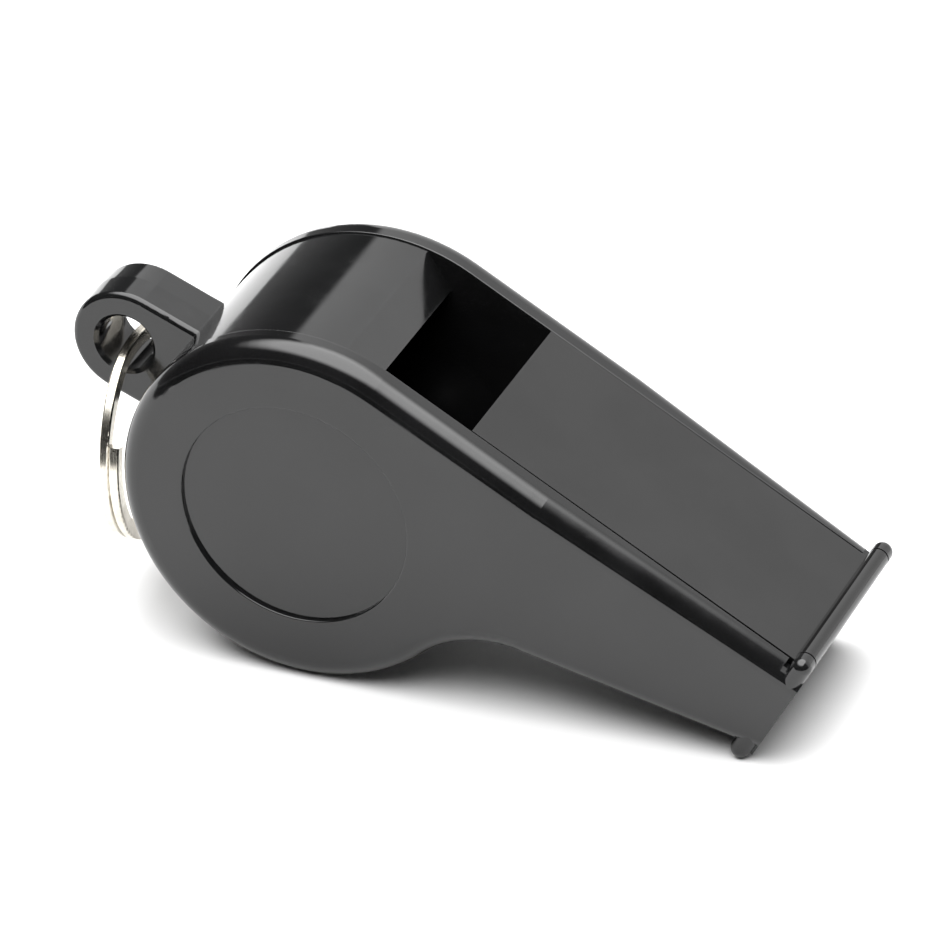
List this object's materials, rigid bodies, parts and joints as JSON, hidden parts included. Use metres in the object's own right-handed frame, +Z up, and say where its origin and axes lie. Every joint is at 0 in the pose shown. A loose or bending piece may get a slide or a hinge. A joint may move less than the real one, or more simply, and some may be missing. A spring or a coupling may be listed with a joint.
{
  "type": "training whistle",
  "caption": "Black moulded pea whistle with round drum, sound window, tapered mouthpiece, bite beads and a steel split ring hung from its lug.",
  "frame": {"origin": "on the surface the whistle rests on, under the middle of its length from lug to mouth and midway between the side plates", "axes": "+X towards the mouth end, +Y towards the right side plate, +Z up; the whistle rests nose-down on the bottom of its drum and its lower bite bead, so its flat top slopes 30 degrees"},
  "size_m": [0.0505, 0.0166, 0.0235],
  "materials": {
    "shell_plastic": "polished black ABS",
    "plate_plastic": "polished black ABS",
    "cover_plastic": "polished black ABS",
    "pea_plastic": "matt black moulded plastic",
    "ring_steel": "nickel plated spring steel"
  },
  "bodies": {
    "whistle": {"barrel": "shell_plastic", "side_plate_left": "plate_plastic", "side_plate_right": "plate_plastic", "windway_cover": "cover_plastic", "windway_block": "shell_plastic"},
    "pea": {"pea": "pea_plastic"},
    "ring": {"split_ring": "ring_steel"}
  },
  "joints": [
    {"name": "pea_orbit", "type": "hinge", "parent": "whistle", "child": "pea", "pos_m": [-0.00775, 0, 0.01175], "axis": [0, 1, 0], "continuous": true},
    {"name": "ring_swing", "type": "hinge", "parent": "whistle", "child": "ring", "pos_m": [-0.02161, 0, 0.01753], "axis": [0, 1, 0], "range_deg": [-4, 228]}
  ]
}
